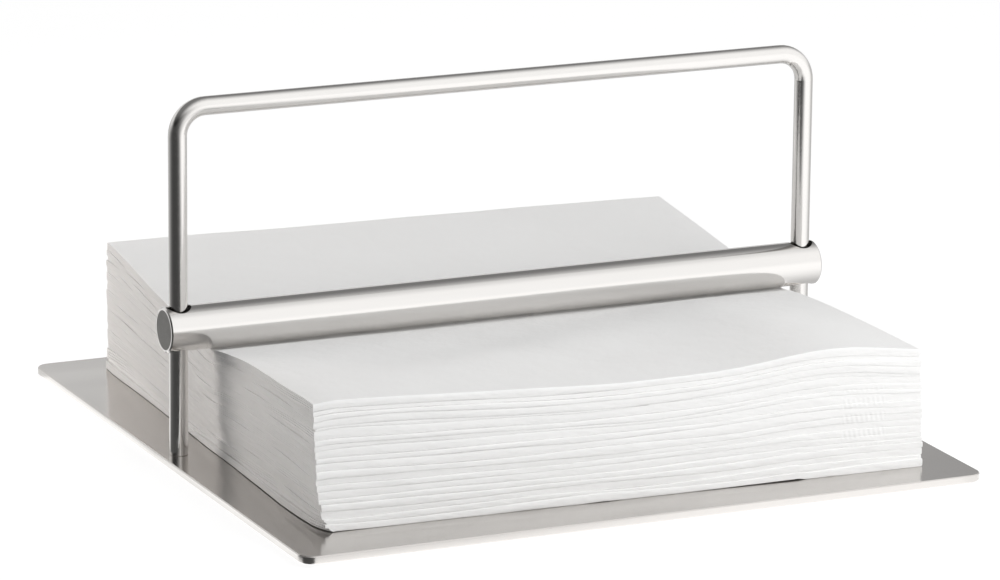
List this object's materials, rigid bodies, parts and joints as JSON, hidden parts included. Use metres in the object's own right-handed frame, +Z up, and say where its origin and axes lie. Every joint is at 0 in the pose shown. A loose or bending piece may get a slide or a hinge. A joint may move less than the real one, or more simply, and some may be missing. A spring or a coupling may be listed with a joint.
{
  "type": "napkin holder",
  "caption": "Flat steel tray for folded paper napkins with a bent rod handle and a heavy round bar that slides on the handle's legs to hold the pack down.",
  "frame": {"origin": "centre of the surface that the holder stands on, under the middle of the plate", "axes": "+Z up, X along the weight bar and the top of the handle, -Y towards the front folds of the napkins"},
  "size_m": [0.192, 0.195, 0.0985],
  "materials": {
    "plate_steel": "fine satin, nearly mirror at low angles",
    "handle_steel": "satin polished rod",
    "bar_steel": "satin turned bar",
    "screw_steel": "plain machine screw",
    "pad_rubber": "matt",
    "napkin_paper": "soft white tissue paper"
  },
  "bodies": {
    "holder": {"base_plate": "plate_steel", "handle": "handle_steel", "handle_screws": "screw_steel", "pad_front_left": "pad_rubber", "pad_front_right": "pad_rubber", "pad_back_left": "pad_rubber", "pad_back_right": "pad_rubber", "napkin_01": "napkin_paper", "napkin_02": "napkin_paper", "napkin_03": "napkin_paper", "napkin_04": "napkin_paper", "napkin_05": "napkin_paper", "napkin_06": "napkin_paper", "napkin_07": "napkin_paper", "napkin_08": "napkin_paper", "napkin_09": "napkin_paper", "napkin_10": "napkin_paper", "napkin_11": "napkin_paper", "napkin_12": "napkin_paper", "napkin_13": "napkin_paper", "napkin_14": "napkin_paper", "napkin_15": "napkin_paper", "napkin_16": "napkin_paper", "napkin_17": "napkin_paper", "napkin_18": "napkin_paper", "napkin_19": "napkin_paper", "napkin_20": "napkin_paper"},
    "bar": {"weight_bar": "bar_steel"}
  },
  "joints": [
    {"name": "bar_slide", "type": "slide", "parent": "holder", "child": "bar", "axis": [0, 0, 1], "range_m": [0, 0.0455]}
  ]
}
